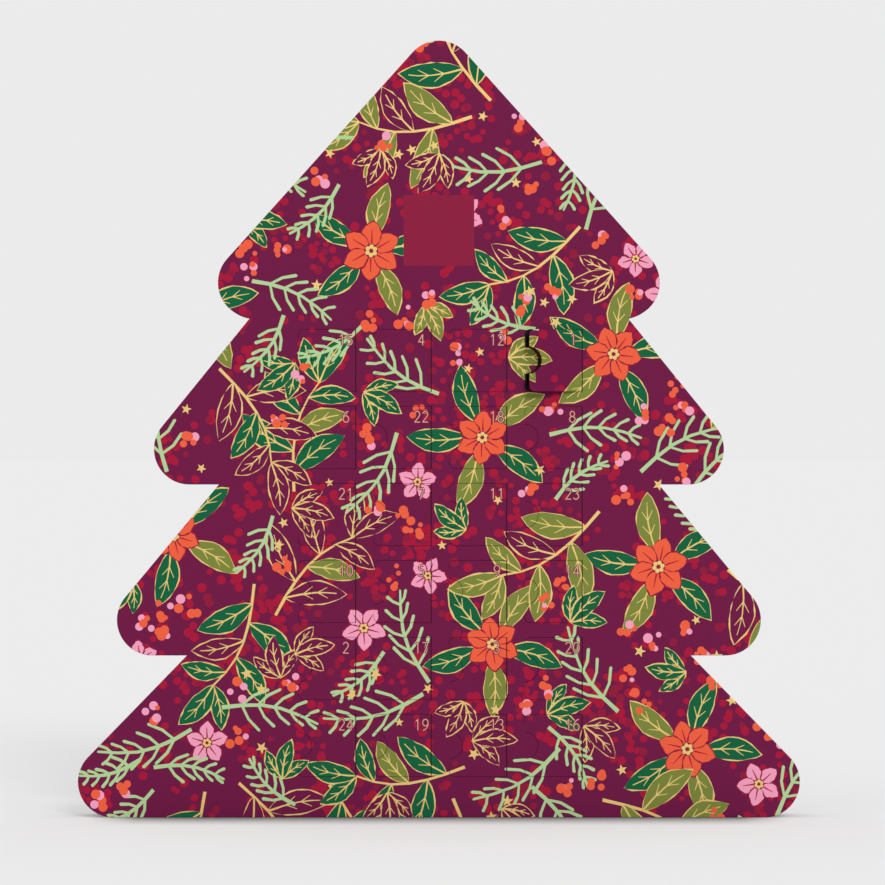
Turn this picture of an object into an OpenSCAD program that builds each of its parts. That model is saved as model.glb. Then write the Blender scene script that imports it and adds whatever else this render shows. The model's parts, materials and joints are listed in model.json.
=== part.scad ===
// Tree-shaped chocolate advent calendar: a card box with 24 hinged doors over a tray of chocolates.
// Millimetres, +Z up, the front faces -Y, and the origin is the middle of the base.

/* [Tree outline] */
// Overall height
tree_h = 388.5; // [384:0.5:396]
// Radius of every rounded corner of the tree
corner_r = 17.75; // [15:0.25:18]
// Width across the top tier
tier1_w = 221; // [215:1:227]
// Width across the second tier
tier2_w = 285; // [279:0.5:290]
// Width across the third tier
tier3_w = 322; // [316:0.5:327]
// Width across the bottom tier, the widest of the tree
tier4_w = 361; // [355:1:367]
// Height of the top tier's lower edge
tier1_z = 249.75; // [248:0.25:252]
// Height of the second tier's lower edge
tier2_z = 166.5; // [164.5:0.5:168.5]
// Height of the third tier's lower edge
tier3_z = 81; // [79:0.5:83]
// Width where the second tier comes out under the first
neck2_w = 189; // [184:0.5:190]
// Width where the third tier comes out under the second
neck3_w = 220; // [216:0.5:224]
// Width where the bottom tier comes out under the third
neck4_w = 252; // [248:0.5:256]

/* [Card box] */
// Depth from the front face to the back face
box_d = 30; // [26:0.5:45]
// Thickness of the card
card_t = 0.8; // [0.6:0.1:1]
// Width of the glue flaps folded in behind the panels
flap_w = 9; // [6:0.5:10]
// Bare length at each end of a glue flap
flap_end = 3; // [2:0.5:6]

/* [Doors] */
// Width of a door, from its free edge to its crease
door_w = 28.6; // [27:0.2:29]
// Height of a door
door_h = 31; // [29:0.5:31.5]
// Sideways step from door to door
door_pitch_x = 37.75; // [37:0.25:38]
// Upward step from row to row
door_pitch_z = 38.5; // [38:0.25:39]
// How far the grid of doors stands to the right of the middle
door_grid_x = 0.7; // [-1:0.1:1]
// Height of the top row's upper edge
door_top_z = 244; // [243:0.5:245]
// Rounding of a door's two free corners
door_corner_r = 2.75; // [2:0.25:4]
// Radius of the half-moon tongue that a thumb presses in
thumb_r = 6.75; // [5:0.25:8]
// Width of the die-cut gap round a door
kerf = 0.2; // [0.15:0.05:0.3]
// Radius of the bead of card along the crease that a door turns on
bead_r = 0.3; // [0.2:0.05:0.4]
// Gap between the crease bead and the panel
bead_gap = 0.05; // [0.03:0.01:0.1]
// The door that stands ajar
ajar_door = 1; // [1:1:24]
// How far that door is open, in degrees
ajar_deg = 22; // [0:1:30]

/* [Tray and chocolates] */
// Thickness of the formed plastic sheet
sheet_t = 0.6; // [0.5:0.1:0.7]
// Width of the flange outside the grid of doors
flange_w = 5.5; // [3:0.5:6]
// How far the step round each pocket is set back, for its door to land on
step_d = 0.4; // [0.3:0.1:0.5]
// Width of the ledge that a door lands on
ledge_w = 1; // [0.8:0.1:1.5]
// Depth of a pocket behind the front panel
pocket_d = 17; // [16:0.5:20]
// Rounding of the pocket corners
pocket_r = 3.5; // [2:0.5:5]
// Play between a chocolate's foot and its pocket
chocolate_play = 0.7; // [0.5:0.1:1.5]
// Height of a chocolate from its foot to its face
chocolate_h = 14; // [10:0.5:14]
// Size of a chocolate's face against its foot
chocolate_taper = 0.86; // [0.8:0.01:0.95]
// How far the figure on a chocolate stands up
relief_h = 0.8; // [0.5:0.1:1]

/* [Hidden] */
$fn = 48;
arc_step = 4;
pocket_arc_step = 30;
overlap = 0.2;
tip = [tier1_w, tier2_w, tier3_w, tier4_w] / 2;
low = [tier1_z, tier2_z, tier3_z, 0];
neck = [0, neck2_w, neck3_w, neck4_w] / 2;
apex = [0, tree_h - corner_r];
front_y = -box_d / 2;
inner_d = box_d - 2 * card_t;
inner_front_y = front_y + card_t;

// The numbers as they stand on the doors, row by row from the top left
door_numbers = [
    [15, 4, 12, 1],
    [6, 22, 18, 8],
    [21, 7, 11, 23],
    [10, 5, 9, 14],
    [2, 17, 3, 20],
    [24, 19, 13, 16]
];
last_row = len(door_numbers) - 1;
last_column = len(door_numbers[0]) - 1;
door_count = (last_row + 1) * (last_column + 1);

step_w = door_w + 2 * step_d;
step_h = door_h + 2 * step_d;
pocket_w = door_w - 2 * ledge_w;
pocket_h = door_h - 2 * ledge_w;
chocolate_w = pocket_w - 2 * chocolate_play;
chocolate_l = pocket_h - 2 * chocolate_play;
relief_size = 0.72 * chocolate_w;

function two_digits(n) = str(n < 10 ? "0" : "", n);
function door_name(n) = str("door_", two_digits(n));
function chocolate_name(n) = str("chocolate_", two_digits(n));

// Points along an arc of radius r about c, from angle a0 to angle a1
function arc(c, r, a0, a1, step = arc_step) =
    let (n = ceil(abs(a1 - a0) / step))
    [for (i = [0 : n]) let (a = a0 + (a1 - a0) * i / n) c + r * [cos(a), sin(a)]];

function reversed(points) = [for (i = [len(points) - 1 : -1 : 0]) points[i]];

// The centre of tier k's rounded tip on the right
function tip_centre(k) = [tip[k] - corner_r, low[k] + corner_r];

// The angle of tier k's sloping side: that of its outward normal above the horizontal.
// The top side touches the apex and its tip. The others run from the neck to touch their tip.
function lean(k) =
    let (from_tip = (k == 0 ? apex : [neck[k], low[k - 1]]) - tip_centre(k))
    atan2(from_tip.y, from_tip.x) - (k == 0 ? 90 : acos(corner_r / norm(from_tip)));

function normal(k) = [cos(lean(k)), sin(lean(k))];
function downhill(k) = [sin(lean(k)), -cos(lean(k))];

// How far tier k's side, set in by t, lies from the origin along its normal
function side_reach(k, t) = tip_centre(k) * normal(k) + corner_r - t;

// The inner corner where tier k comes out under the tier above, for an outline set in by t
function notch(k, t) =
    let (z = low[k - 1] + t)
    [(side_reach(k, t) - z * sin(lean(k))) / cos(lean(k)), z];

// The lower edge of tier k is flat as far as its tip if the tier below leaves room for it
function has_flat(k, t) = k < 3 && notch(k + 1, t).x < tip_centre(k).x;

// The angle where tier k's rounded tip starts: straight down, or where the side below meets it
function tip_start(k, t) =
    k == 3 || has_flat(k, t)
        ? -90
        : lean(k + 1) - acos((side_reach(k + 1, t) - tip_centre(k) * normal(k + 1)) / (corner_r - t));

// The right side of the outline set in by t, from the base to the apex
function right_side(t) = [
    for (k = [3 : -1 : 0])
        each concat(
            has_flat(k, t) ? [notch(k + 1, t)] : [],
            arc(tip_centre(k), corner_r - t, tip_start(k, t), lean(k))
        )
];

function outline(t) =
    let (right = right_side(t))
    concat(
        right,
        arc(apex, corner_r - t, lean(0), 180 - lean(0)),
        [for (p = reversed(right)) [-p.x, p.y]]
    );

// The right half of the outline up to the middle of the apex
function half_path(t) = concat(right_side(t), arc(apex, corner_r - t, lean(0), 90));

// The column and the row of a door
function place(n) = [
    for (row = [0 : last_row], column = [0 : last_column])
        if (door_numbers[row][column] == n) [column, row]
][0];

// The foot of a door's crease, on the panel's face
function hinge_point(n) =
    let (at = place(n))
    [
        door_grid_x + (at.x - last_column / 2) * door_pitch_x + door_w / 2,
        door_top_z - at.y * door_pitch_z - door_h
    ];

function door_middle(n) = hinge_point(n) + [-door_w, door_h] / 2;

// A door's outline about the foot of its crease, let out by play and running on to the right by hinge_play
function door_outline(play, hinge_play) =
    let (r = door_corner_r + play, left = -door_w - play + r)
    concat(
        [[hinge_play, -play], [hinge_play, door_h + play]],
        arc([left, door_h + play - r], r, 90, 180, pocket_arc_step),
        arc([left, r - play], r, 180, 270, pocket_arc_step)
    );

// A rectangle about the origin with rounded corners
function rounded_box(w, h, r) = [
    for (i = [0 : 3])
        let (side = [[1, 1], [-1, 1], [-1, -1], [1, -1]][i])
        each arc(
            [side.x * (w / 2 - r), side.y * (h / 2 - r)],
            r,
            90 * i,
            90 * i + 90,
            pocket_arc_step
        )
];

// Stands a flat shape up, with its front at y and the given thickness towards the back
module upright(y, thickness)
    translate([0, y + thickness, 0])
        rotate([90, 0, 0])
            linear_extrude(thickness)
                children();

module tongue(play)
    translate([-door_w, door_h / 2])
        circle(thumb_r - play);

// The front panel's opening for a door, with the half-moon tongue left standing
module door_opening()
    difference() {
        polygon(door_outline(kerf, bead_r + bead_gap));
        tongue(kerf);
    }

module front_panel()
    color("#6f1f44")
        upright(front_y, card_t)
            difference() {
                polygon(outline(0));
                for (n = [1 : door_count])
                    translate(hinge_point(n))
                        door_opening();
            }

module back_panel()
    color("#6f1f44")
        upright(box_d / 2 - card_t, card_t)
            polygon(outline(0));

// A glue flap along tier k's side, starting halfway into the wall
module side_flap(k) {
    wall = card_t / 2;
    upper = k == 0 ? apex + (corner_r - wall) * normal(0) : notch(k, wall);
    lower = tip_centre(k) + (corner_r - wall) * normal(k);
    inward = -flap_w * normal(k);
    polygon([
        upper + flap_end * downhill(k),
        lower - flap_end * downhill(k),
        lower - (flap_end + flap_w) * downhill(k) + inward,
        upper + (flap_end + flap_w) * downhill(k) + inward
    ]);
}

// The side wall on the right: one strip from the base to the apex, with flaps behind both panels
module right_wall()
    color("#642340") {
        upright(inner_front_y, inner_d)
            polygon(concat(half_path(0), reversed(half_path(card_t))));
        for (y = [inner_front_y, -inner_front_y - card_t], k = [0 : 3])
            upright(y, card_t)
                side_flap(k);
    }

module left_wall()
    mirror([1, 0, 0])
        right_wall();

module base_wall() {
    half = tip_centre(3).x;
    color("#642340") {
        translate([-half, inner_front_y, 0])
            cube([2 * half, inner_d, card_t]);
        for (y = [inner_front_y, -inner_front_y - card_t])
            upright(y, card_t)
                polygon([
                    [flap_end - half, card_t / 2],
                    [half - flap_end, card_t / 2],
                    [half - flap_end - flap_w, card_t + flap_w],
                    [flap_end + flap_w - half, card_t + flap_w]
                ]);
    }
}

// The tray: a flange behind the front panel, a skirt to the back panel and a stepped pocket for each door
module tray() {
    flange_x = last_column * door_pitch_x + door_w + 2 * flange_w;
    flange_z = last_row * door_pitch_z + door_h + 2 * flange_w;
    centre = [door_grid_x, door_top_z + flange_w - flange_z / 2];
    floor_d = pocket_d + sheet_t;
    color("#1c1614")
        difference() {
            union() {
                upright(inner_front_y, inner_d)
                    translate(centre)
                        difference() {
                            square([flange_x, flange_z], center = true);
                            square([flange_x - 2 * sheet_t, flange_z - 2 * sheet_t], center = true);
                        }
                upright(inner_front_y, sheet_t)
                    translate(centre)
                        square([flange_x, flange_z], center = true);
                for (n = [1 : door_count]) {
                    upright(inner_front_y, step_d + sheet_t)
                        translate(door_middle(n))
                            square([step_w + 2 * sheet_t, step_h + 2 * sheet_t], center = true);
                    upright(inner_front_y, floor_d)
                        translate(door_middle(n))
                            polygon(rounded_box(
                                pocket_w + 2 * sheet_t,
                                pocket_h + 2 * sheet_t,
                                pocket_r + sheet_t
                            ));
                }
            }
            for (n = [1 : door_count]) {
                upright(inner_front_y - overlap, step_d + overlap)
                    translate(door_middle(n))
                        square([step_w, step_h], center = true);
                upright(inner_front_y - overlap, pocket_d + overlap)
                    translate(door_middle(n))
                        polygon(rounded_box(pocket_w, pocket_h, pocket_r));
            }
        }
}

// A door, turning on the bead along its crease
module door(n) {
    foot = hinge_point(n);
    color("#7a2148")
        translate([foot.x, front_y, foot.y])
            rotate([0, 0, n == ajar_door ? ajar_deg : 0]) {
                upright(0, card_t)
                    difference() {
                        polygon(door_outline(0, 0));
                        tongue(0);
                    }
                cylinder(r = bead_r, h = door_h);
            }
}

module star(size)
    polygon([for (i = [0 : 9]) size / 2 * (i % 2 == 0 ? 1 : 0.45) * [-sin(36 * i), cos(36 * i)]]);

module heart(size) {
    lobe = size / 4;
    translate([0, lobe / 4]) {
        for (side = [-1, 1])
            translate([side * 0.92 * lobe, 0.6 * lobe])
                circle(lobe);
        polygon([[-1.8 * lobe, 0.1 * lobe], [0, 0.9 * lobe], [1.8 * lobe, 0.1 * lobe], [0, -2 * lobe]]);
    }
}

module fir(size) {
    for (i = [0 : 2])
        polygon(size * [
            [0.2 + 0.1 * i, 0.1 - 0.22 * i],
            [0, 0.5 - 0.2 * i],
            [-0.2 - 0.1 * i, 0.1 - 0.22 * i]
        ]);
    translate([-0.07 * size, -0.5 * size])
        square([0.14 * size, 0.2 * size]);
}

module bell(size) {
    polygon(size * [[-0.2, 0.2], [0.2, 0.2], [0.24, -0.1], [0.42, -0.3], [-0.42, -0.3], [-0.24, -0.1]]);
    translate([0, 0.2 * size])
        circle(0.2 * size);
    translate([0, -0.34 * size])
        circle(0.11 * size);
}

module moon(size)
    difference() {
        circle(size / 2);
        translate([0.24 * size, 0.12 * size])
            circle(0.38 * size);
    }

module parcel(size) {
    for (x = [-1, 1], z = [-1, 1])
        translate([0.24 * x, 0.24 * z] * size)
            square(0.38 * size, center = true);
    translate([0, 0.5 * size])
        circle(0.1 * size);
}

module figure(kind, size) {
    if (kind == 0) star(size);
    if (kind == 1) heart(size);
    if (kind == 2) fir(size);
    if (kind == 3) bell(size);
    if (kind == 4) moon(size);
    if (kind == 5) parcel(size);
}

// A moulded chocolate standing on its pocket's floor, with its face and figure to the front
module chocolate(n) {
    middle = door_middle(n);
    color("#4a2616")
        translate([middle.x, inner_front_y + pocket_d, middle.y])
            rotate([90, 0, 0]) {
                linear_extrude(chocolate_h, scale = chocolate_taper)
                    polygon(rounded_box(chocolate_w, chocolate_l, pocket_r));
                translate([0, 0, chocolate_h - overlap])
                    linear_extrude(relief_h + overlap)
                        figure(n % 6, relief_size);
            }
}

front_panel();
back_panel();
left_wall();
right_wall();
base_wall();
tray();
for (n = [1 : door_count]) {
    door(n);
    chocolate(n);
}
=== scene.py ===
# %% [markdown]
# # A tree-shaped advent calendar
#
# The object is a printed card box in the shape of a fir tree. Its front has 24 small doors, each cut on
# three sides and folded on the fourth, and behind every door a chocolate sits in a formed plastic tray. The
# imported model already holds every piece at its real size. This lesson dresses it: it draws the print as
# real shapes cut into the card's face, gives each material its finish, and lights it like a product shot.

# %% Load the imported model
import json
import math
import random

import bmesh
import bpy
from mathutils import Matrix, Vector
from mathutils.geometry import delaunay_2d_cdt, intersect_point_line


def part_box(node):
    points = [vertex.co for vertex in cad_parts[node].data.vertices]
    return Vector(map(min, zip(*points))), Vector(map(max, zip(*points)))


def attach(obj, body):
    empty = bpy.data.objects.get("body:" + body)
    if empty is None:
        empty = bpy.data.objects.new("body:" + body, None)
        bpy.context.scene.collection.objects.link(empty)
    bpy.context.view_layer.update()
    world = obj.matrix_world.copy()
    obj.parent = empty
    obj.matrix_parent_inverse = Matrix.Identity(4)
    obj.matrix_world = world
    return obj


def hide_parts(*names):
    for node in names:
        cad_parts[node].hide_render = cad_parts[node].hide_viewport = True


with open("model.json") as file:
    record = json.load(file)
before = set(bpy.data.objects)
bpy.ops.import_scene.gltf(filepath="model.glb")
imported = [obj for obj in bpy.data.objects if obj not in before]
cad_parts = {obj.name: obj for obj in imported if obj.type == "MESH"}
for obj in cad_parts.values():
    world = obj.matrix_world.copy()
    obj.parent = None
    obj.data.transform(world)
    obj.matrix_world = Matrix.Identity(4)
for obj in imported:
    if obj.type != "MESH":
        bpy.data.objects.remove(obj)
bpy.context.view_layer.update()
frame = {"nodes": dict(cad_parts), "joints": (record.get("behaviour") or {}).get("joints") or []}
MM = 0.001

panel_low, panel_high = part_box("front_panel")
FRONT_Y = panel_low.y
CARD_T = panel_high.y - panel_low.y
HINGES = {int(joint["child"][-2:]): Vector(joint["pos_m"]) for joint in frame["joints"]}
AJAR = {int(joint["child"][-2:]): math.radians(-joint["range_deg"][0]) for joint in frame["joints"]}
print(f"{len(frame['nodes'])} pieces, {len(HINGES)} doors, card {CARD_T / MM:.2f} mm thick")

# %% [markdown]
# ## The camera
#
# The photograph is a straight front view from far away, so a long lens stands three metres off, level with
# the middle of the picture. What matters is how much of the front plane the picture takes in: 442.5 mm.

# %% Place the camera
VIEW_WIDTH = 442.5 * MM
VIEW_CENTRE = Vector((1.8, 187.5)) * MM
CAMERA_DISTANCE = 3.0
FAR_LIMIT = 200.0

camera_data = bpy.data.cameras.new("camera")
camera_data.lens = camera_data.sensor_width * CAMERA_DISTANCE / VIEW_WIDTH
camera_data.clip_end = FAR_LIMIT
camera = bpy.data.objects.new("camera", camera_data)
camera.location = (VIEW_CENTRE.x, FRONT_Y - CAMERA_DISTANCE, VIEW_CENTRE.y)
camera.rotation_euler = (math.radians(90), 0, 0)
bpy.context.scene.collection.objects.link(camera)
bpy.context.scene.camera = camera
print(f"lens {camera_data.lens:.0f} mm")

# %% [markdown]
# ## Colour and nodes
#
# Colours are written as the sRGB hex values that a paint program shows. Blender's shaders count in linear
# light, so one function turns one into the other. A second small function adds a node with its settings and
# its links, and a third starts an empty material, so that every material below is short enough to read.

# %% Helpers for materials
FACTOR, COLOUR_A, COLOUR_B, MIXED = 0, 6, 7, 2   # a colour Mix node's sockets, because their names repeat


def linear(hex_colour):
    """The linear RGBA of an sRGB hex colour such as "#808080"."""
    channels = [int(hex_colour[i : i + 2], 16) / 255 for i in (1, 3, 5)]
    return [c / 12.92 if c <= 0.04045 else ((c + 0.055) / 1.055) ** 2.4 for c in channels] + [1.0]


def add_node(tree, kind, inputs=None, **settings):
    """Add one node. Inputs are values, or the sockets of other nodes to link."""
    node = tree.nodes.new(kind)
    for name, value in settings.items():
        setattr(node, name, value)
    for name, value in (inputs or {}).items():
        if isinstance(value, bpy.types.NodeSocket):
            tree.links.new(value, node.inputs[name])
        else:
            node.inputs[name].default_value = value
    return node


def start_material(name):
    """A new material with nothing in it but its output."""
    material = bpy.data.materials.new(name)
    material.use_nodes = True
    tree = material.node_tree
    tree.nodes.clear()
    return material, tree, add_node(tree, "ShaderNodeOutputMaterial")


print("mid grey is", round(linear("#808080")[0], 3), "in linear light")

# %% [markdown]
# ## Studio light
#
# The photograph has an even pale grey sheet all round, and a soft shadow behind the foot on the left. An
# even sky gives the soft light, and one wide sun lamp from the front right gives the shadow. The grey of
# the backdrop is what the camera sees of the world, while the light that reaches the box has its own
# strength.

# %% Sky and key light
SHEET_GREY = linear("#ebebeb")
SKY_STRENGTH = 0.66
SUN_STRENGTH = 1.28
SUN_SOFTNESS = math.radians(14)
SUN_HEIGHT = math.radians(22)
SUN_SIDE = math.radians(14)


def seen_directly(tree):
    """1 for rays from the camera, a mirror or glass, and 0 for rays that carry light."""
    path = add_node(tree, "ShaderNodeLightPath")
    shiny = add_node(tree, "ShaderNodeMath", {0: path.outputs["Is Camera Ray"],
                     1: path.outputs["Is Glossy Ray"]}, operation="MAXIMUM")
    return add_node(tree, "ShaderNodeMath", {0: shiny.outputs[0],
                    1: path.outputs["Is Transmission Ray"]}, operation="MAXIMUM").outputs[0]


world = bpy.data.worlds.new("studio")
world.use_nodes = True
bpy.context.scene.world = world
sky = world.node_tree
sky.nodes.clear()
lighting = add_node(sky, "ShaderNodeBackground", {"Color": (1, 1, 1, 1), "Strength": SKY_STRENGTH})
backdrop = add_node(sky, "ShaderNodeBackground", {"Color": SHEET_GREY, "Strength": 1.0})
both = add_node(sky, "ShaderNodeMixShader", {0: seen_directly(sky), 1: lighting.outputs[0],
                2: backdrop.outputs[0]})
add_node(sky, "ShaderNodeOutputWorld", {"Surface": both.outputs[0]})

sun_data = bpy.data.lights.new("key", "SUN")
sun_data.energy = SUN_STRENGTH
sun_data.angle = SUN_SOFTNESS
sun = bpy.data.objects.new("key", sun_data)
sun.rotation_euler = (math.radians(90) - SUN_HEIGHT, 0, SUN_SIDE)
bpy.context.scene.collection.objects.link(sun)
print(f"key light {math.degrees(SUN_HEIGHT):.0f} degrees up, {math.degrees(SUN_SIDE):.0f} to the right")

# %% [markdown]
# ## The paper floor
#
# The box stands on a sheet of the same pale matt paper. A faint glow, which only the camera and reflections
# see, makes it as light as the backdrop and doesn't light the box from below. Under the box's long sides
# there is a thin dark line of painted shadow: an ambient occlusion node tells how much open sky a place has
# left, and where that is little, close to the foot, the paper's colour is painted darker as a shadow.

# %% Lay the paper floor
FLOOR_SIZE = 120.0
# The second colour is painted shadow: the paper is painted this dark right at the foot.
PAPER, PAINTED_FOOT_SHADOW = linear("#dcdcdc"), linear("#606060")
SHEET_GLOW = 0.36
CONTACT_REACH = 65 * MM
CONTACT_SKY = 0.48   # the share of open sky at the very foot of a wall
CONTACT_SAMPLES = 8
FOOT_HALF, FOOT_FADE = 150 * MM, 24 * MM   # the line fades out at the foot's two ends

floor_paper, tree, output = start_material("matt_paper_with_painted_shadow")
open_sky = add_node(tree, "ShaderNodeAmbientOcclusion", {"Distance": CONTACT_REACH},
                    samples=CONTACT_SAMPLES)
close = add_node(tree, "ShaderNodeMapRange", {"Value": open_sky.outputs["AO"], "From Min": CONTACT_SKY,
                 "To Min": 1.0, "To Max": 0.0})
where = add_node(tree, "ShaderNodeTexCoord").outputs["Object"]
along = add_node(tree, "ShaderNodeSeparateXYZ", {"Vector": where}).outputs["X"]
aside = add_node(tree, "ShaderNodeMath", {0: along}, operation="ABSOLUTE")
at_foot = add_node(tree, "ShaderNodeMapRange", {"Value": aside.outputs[0], "From Min": FOOT_HALF,
                   "From Max": FOOT_HALF + FOOT_FADE, "To Min": 1.0, "To Max": 0.0})
# How much painted shadow a place gets: little open sky, along the foot's long sides.
painted_shadow_share = add_node(tree, "ShaderNodeMath", {0: close.outputs[0], 1: at_foot.outputs[0]},
                   operation="MULTIPLY")
paper_and_painted_shadow = add_node(tree, "ShaderNodeMix", {FACTOR: painted_shadow_share.outputs[0], COLOUR_A: PAPER,
                      COLOUR_B: PAINTED_FOOT_SHADOW}, data_type="RGBA").outputs[MIXED]
matt = add_node(tree, "ShaderNodeBsdfDiffuse", {"Color": paper_and_painted_shadow})
glow = add_node(tree, "ShaderNodeEmission", {"Color": paper_and_painted_shadow, "Strength": SHEET_GLOW})
lit = add_node(tree, "ShaderNodeAddShader", {0: matt.outputs[0], 1: glow.outputs[0]})
seen = add_node(tree, "ShaderNodeMixShader", {0: seen_directly(tree), 1: matt.outputs[0],
                2: lit.outputs[0]})
tree.links.new(seen.outputs[0], output.inputs["Surface"])

floor_mesh = bpy.data.meshes.new("floor")
half = FLOOR_SIZE / 2
floor_mesh.from_pydata([(-half, -half, 0), (half, -half, 0), (half, half, 0), (-half, half, 0)], [],
                       [(0, 1, 2, 3)])
floor_mesh.materials.append(floor_paper)
floor = bpy.data.objects.new("floor", floor_mesh)
bpy.context.scene.collection.objects.link(floor)
print(f"a paper floor of {FLOOR_SIZE:.0f} m")

# %% [markdown]
# ## Printed card
#
# The box is folding boxboard, dyed dark through and lined inside with cream paper. Its dark cut edges and
# crease are also painted shade: they stand for the shade that falls in those narrow cuts. Its outside is
# coated, printed in solid inks and sealed with a satin varnish. To the eye it is a smooth, slightly silky
# surface whose gloss breaks up over the board's fibres. Printed or bare, it is the same board, so one
# function makes the fine relief and the uneven gloss for all of it.

# %% The surface of the board
FIBRE_SIZE = 0.9 * MM      # real fibres are about 0.03 mm wide, drawn coarser so that they show
FORMATION_SIZE = 14 * MM   # the slow unevenness of a sheet of board
FORMATION_DEPTH = 0.6 * MM
NOISE_LOW, NOISE_HIGH = 0.3, 0.7   # nearly all of a noise texture's values lie between these


def card_surface(tree, smoothest, roughest, fibre_depth):
    """The roughness and the bump of a board's surface, from its fibres and its slow unevenness."""
    where = add_node(tree, "ShaderNodeTexCoord").outputs["Object"]
    fibres = add_node(tree, "ShaderNodeTexNoise", {"Vector": where, "Scale": 1 / FIBRE_SIZE,
                      "Detail": 3.0, "Roughness": 0.6})
    waves = add_node(tree, "ShaderNodeTexNoise", {"Vector": where, "Scale": 1 / FORMATION_SIZE,
                     "Detail": 2.0})
    rough = add_node(tree, "ShaderNodeMapRange", {"Value": fibres.outputs["Fac"], "From Min": NOISE_LOW,
                     "From Max": NOISE_HIGH, "To Min": smoothest, "To Max": roughest})
    slow = add_node(tree, "ShaderNodeBump", {"Height": waves.outputs["Fac"], "Strength": 0.12,
                    "Distance": FORMATION_DEPTH})
    fine = add_node(tree, "ShaderNodeBump", {"Height": fibres.outputs["Fac"], "Strength": 0.25,
                    "Distance": fibre_depth, "Normal": slow.outputs["Normal"]})
    return rough.outputs["Result"], fine.outputs["Normal"]


print(f"fibres of {FIBRE_SIZE / MM:.1f} mm over waves of {FORMATION_SIZE / MM:.0f} mm")

# %% [markdown]
# ## Inks and bare board
#
# The inks share that surface and differ only in colour, so one function makes them all. Gold is a bronze
# ink with fine metal flakes, and bare board and liner paper are duller, so these have functions of their
# own. The colour stays on the shader's own socket: the print's shapes are geometry, and each keeps its own
# clean ink.

# %% Inks, bronze and dull board
SATIN = (0.46, 0.62, 0.05 * MM)   # the least and the most roughness, and the fibres' depth
BRONZE = (0.3, 0.5, 0.08 * MM)
BARE_BOARD = (0.75, 0.95, 0.15 * MM)
SATIN_SHEEN = {"IOR": 1.5, "Specular IOR Level": 0.12}
CRIMSON = "#a60a36"


def satin_ink(name, hex_colour):
    """A solid printing ink under a satin varnish on coated boxboard."""
    material, tree, output = start_material(name)
    rough, normal = card_surface(tree, *SATIN)
    shader = add_node(tree, "ShaderNodeBsdfPrincipled", {"Base Color": linear(hex_colour),
                      "Roughness": rough, "Normal": normal, **SATIN_SHEEN})
    tree.links.new(shader.outputs["BSDF"], output.inputs["Surface"])
    return material


def bronze_ink(name, hex_colour):
    """A metallic printing ink: fine bronze flakes that give a dull golden shine."""
    material, tree, output = start_material(name)
    rough, normal = card_surface(tree, *BRONZE)
    shader = add_node(tree, "ShaderNodeBsdfPrincipled", {"Base Color": linear(hex_colour),
                      "Metallic": 0.4, "Roughness": rough, "Normal": normal})
    tree.links.new(shader.outputs["BSDF"], output.inputs["Surface"])
    return material


def dyed_board(name, hex_colour):
    """Unprinted board or liner paper, coloured in the pulp; the dark board is also painted shade in cuts."""
    material, tree, output = start_material(name)
    rough, normal = card_surface(tree, *BARE_BOARD)
    shader = add_node(tree, "ShaderNodeBsdfPrincipled", {"Base Color": linear(hex_colour),
                      "Roughness": rough, "Normal": normal, "Specular IOR Level": 0.2})
    tree.links.new(shader.outputs["BSDF"], output.inputs["Surface"])
    return material


INKS = {
    "plum": satin_ink("ink_plum", "#6d0c41"),
    "crimson": satin_ink("ink_crimson", CRIMSON),
    "berry": satin_ink("ink_berry", "#8f1037"),
    "green": satin_ink("ink_fir_green", "#005f3a"),
    "olive": satin_ink("ink_olive", "#7a8538"),
    "mint": satin_ink("ink_mint", "#b1d298"),
    "orange": satin_ink("ink_orange", "#ef5f3d"),
    "pink": satin_ink("ink_pink", "#f3a0be"),
    "label": satin_ink("ink_label_red", "#8b163b"),
    "numeral": satin_ink("ink_numeral", "#dba48a"),
    "gold": bronze_ink("ink_gold", "#dcbc70"),
    # The dark board shows only at die-cut edges and creases: partly the board's own colour, partly painted
    # shade.
    "board": dyed_board("dark_board_and_painted_cut_shade", "#2a0d1a"),
    "liner": dyed_board("cream_liner", "#d6cab6"),
}
print(len(INKS), "inks and boards")

# %% [markdown]
# ## Drawing flat shapes
#
# The print is drawn in millimetres on the plane of the front, x to the right and z up. Three shapes are
# enough to build every motif: a disc, a pointed blade for leaves and petals, and a stroke that follows a
# line and may thin out towards its end. Each shape that is laid goes on top of those before it, like ink on
# ink. Seeded dice let a line stray by a fraction of a millimetre, as it does in a block that is cut by
# hand.

# %% Discs, blades and strokes
BLADE_STEPS, BLADE_FULLNESS = 10, 0.8
HAND, FINE_HAND = 0.3, 0.12
LAYOUT_SEED, HAND_SEED = 172, 24
rng = random.Random(LAYOUT_SEED)
hand = random.Random(HAND_SEED)
paint = []


def lay(ink, points, stray=0.0):
    """Print one shape over what is there already. Its points may stray."""
    paint.append((ink, [(x + hand.uniform(-stray, stray), z + hand.uniform(-stray, stray))
                        for x, z in points]))


def placed(points, at, turn):
    """Points turned about the origin and moved to a place."""
    c, s = math.cos(turn), math.sin(turn)
    return [(at[0] + x * c - z * s, at[1] + x * s + z * c) for x, z in points]


def bow(centre, radius, start, end, steps=8):
    """Points along part of an ellipse, from one angle in degrees to another."""
    angles = [math.radians(start + (end - start) * i / steps) for i in range(steps + 1)]
    return [(centre[0] + radius[0] * math.cos(a), centre[1] + radius[1] * math.sin(a)) for a in angles]


def disc(centre, radius, sides=14):
    """Points round a full circle."""
    return bow(centre, (radius, radius), 0, 360 - 360 / sides, sides - 1)


def blade_spine(length, bend, share):
    """The point at a share of the way along a bowed line."""
    return (length * share, bend * length * math.sin(math.pi * share))


def blade_half(half_width, share):
    """Half of a blade's width at a share of its length."""
    return half_width * math.sin(math.pi * share) ** BLADE_FULLNESS


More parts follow.
